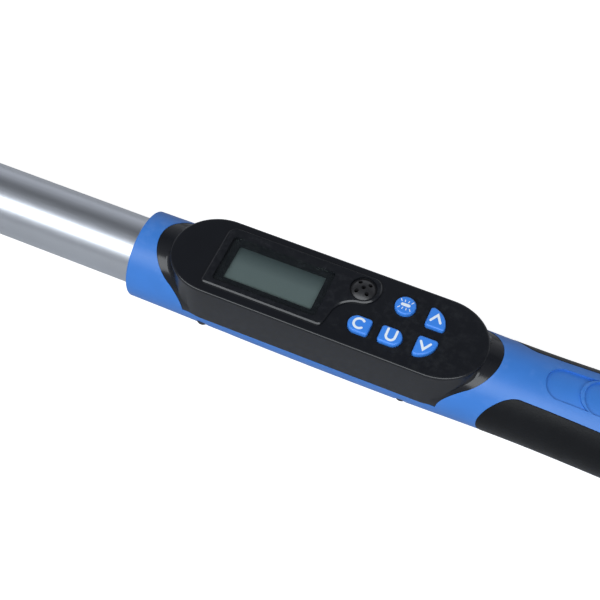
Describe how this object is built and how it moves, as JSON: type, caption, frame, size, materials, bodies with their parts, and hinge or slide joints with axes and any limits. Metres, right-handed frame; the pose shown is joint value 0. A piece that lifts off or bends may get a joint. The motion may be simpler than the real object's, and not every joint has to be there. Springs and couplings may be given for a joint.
{
  "type": "digital torque wrench",
  "caption": "Half-inch square drive torque wrench with a reversible ratchet head, round tube, boxed digital display with keys, and a grip handle that holds cells behind a screw cap.",
  "frame": {"origin": "middle of the square drive's end face", "axes": "+X along the tool from the drive to the handle's butt, +Z out of the display and away from the socket, +Y to the far side"},
  "size_m": [0.518, 0.042, 0.0485],
  "materials": {
    "head_chrome": "satin chrome plate over forged steel",
    "tube_chrome": "satin chrome plate, very fine lengthwise grain",
    "gear_steel": "machined alloy steel, phosphated",
    "screw_steel": "plain steel",
    "screw_black": "black oxide steel",
    "seal_rubber": "smooth nitrile rubber",
    "gauge_film": "polyimide film",
    "cable_sheath": "flexible sheath",
    "body_blue": "fine textured moulded nylon, satin",
    "grip_rubber": "soft elastomer, matt",
    "cover_black": "fine textured black plastic, satin",
    "lens_clear": "clear polycarbonate",
    "display_grey": "unlit liquid-crystal cell",
    "light_guide": "white light guide",
    "grille_black": "satin black plastic",
    "buzzer_black": "moulded plastic",
    "contact_steel": "nickel plated spring steel",
    "board_green": "solder mask",
    "part_black": "moulded packages",
    "sleeve_black": "moulded plastic",
    "cell_wrap": "plain wrapped steel can",
    "button_steel": "polished",
    "spring_steel": "spring wire",
    "ball_steel": "polished ball",
    "lever_black": "black phosphated steel",
    "key_blue": "satin keycap",
    "cap_black": "moulded plastic, satin"
  },
  "bodies": {
    "wrench": {"ratchet_head": "head_chrome", "gear_cover_plate": "head_chrome", "gear_plate_screws": "screw_steel", "neck_seal": "seal_rubber", "main_tube": "tube_chrome", "cross_pins": "screw_steel", "strain_gauges": "gauge_film", "gauge_cable": "cable_sheath", "battery_cable": "cable_sheath", "handle_body": "body_blue", "grip_near": "grip_rubber", "grip_far": "grip_rubber", "tube_fixing_screws": "screw_black", "display_cover": "cover_black", "cover_screws": "screw_black", "lens": "lens_clear", "display_glass": "display_grey", "backlight": "light_guide", "buzzer_grille": "grille_black", "buzzer": "buzzer_black", "snap_domes": "contact_steel", "main_board": "board_green", "board_parts": "part_black", "board_screws": "screw_steel", "battery_sleeve": "sleeve_black", "front_contact": "contact_steel", "cell_front": "cell_wrap", "cell_rear": "cell_wrap"},
    "drive": {"drive_gear": "gear_steel"},
    "release": {"release_pin": "button_steel", "release_spring": "spring_steel"},
    "ball": {"socket_ball": "ball_steel"},
    "pawl": {"pawl": "gear_steel"},
    "lever": {"reversing_lever": "lever_black", "lever_plunger": "gear_steel", "plunger_spring": "spring_steel"},
    "key_light": {"key_light": "key_blue"},
    "key_clear": {"key_clear": "key_blue"},
    "key_unit": {"key_unit": "key_blue"},
    "key_up": {"key_up": "key_blue"},
    "key_down": {"key_down": "key_blue"},
    "cap_carrier": {"contact_carrier": "sleeve_black", "cap_contact": "contact_steel", "cap_spring": "spring_steel"},
    "cap": {"battery_cap": "cap_black", "cap_seal": "seal_rubber"}
  },
  "joints": [
    {"name": "drive_spin", "type": "hinge", "parent": "wrench", "child": "drive", "pos_m": [0, 0, 0.03], "axis": [0, 0, 1], "continuous": true},
    {"name": "release_press", "type": "slide", "parent": "drive", "child": "release", "axis": [0, 0, -1], "range_m": [0, 0.0025], "stiffness_N_per_m": 900, "springref_m": -0.001, "deforming": ["release_spring"]},
    {"name": "ball_retract", "type": "slide", "parent": "drive", "child": "ball", "axis": [1, 0, 0], "range_m": [0, 0.0008]},
    {"name": "lever_turn", "type": "hinge", "parent": "wrench", "child": "lever", "pos_m": [0.029, 0, 0.03], "axis": [0, 0, 1], "range_deg": [0, 50]},
    {"name": "pawl_rock", "type": "hinge", "parent": "wrench", "child": "pawl", "pos_m": [0.0206, 0, 0.029], "axis": [0, 0, 1], "range_deg": [0, 12]},
    {"name": "key_light_press", "type": "slide", "parent": "wrench", "child": "key_light", "axis": [0, 0, -1], "range_m": [0, 0.0005], "stiffness_N_per_m": 1500, "springref_m": -0.0003},
    {"name": "key_clear_press", "type": "slide", "parent": "wrench", "child": "key_clear", "axis": [0, 0, -1], "range_m": [0, 0.0005], "stiffness_N_per_m": 1500, "springref_m": -0.0003},
    {"name": "key_unit_press", "type": "slide", "parent": "wrench", "child": "key_unit", "axis": [0, 0, -1], "range_m": [0, 0.0005], "stiffness_N_per_m": 1500, "springref_m": -0.0003},
    {"name": "key_up_press", "type": "slide", "parent": "wrench", "child": "key_up", "axis": [0, 0, -1], "range_m": [0, 0.0005], "stiffness_N_per_m": 1500, "springref_m": -0.0003},
    {"name": "key_down_press", "type": "slide", "parent": "wrench", "child": "key_down", "axis": [0, 0, -1], "range_m": [0, 0.0005], "stiffness_N_per_m": 1500, "springref_m": -0.0003},
    {"name": "cap_travel", "type": "slide", "parent": "wrench", "child": "cap_carrier", "axis": [1, 0, 0], "range_m": [0, 0.0045]},
    {"name": "cap_turn", "type": "hinge", "parent": "cap_carrier", "child": "cap", "pos_m": [0.478, 0, 0.03], "axis": [1, 0, 0], "range_deg": [0, 1080]}
  ],
  "couplings": [
    {"joint": "pawl_rock", "follows": "lever_turn", "ratio": 0.24},
    {"joint": "ball_retract", "follows": "release_press", "ratio": 0.32},
    {"joint": "cap_travel", "follows": "cap_turn", "m_per_rad": 0.00023873}
  ]
}
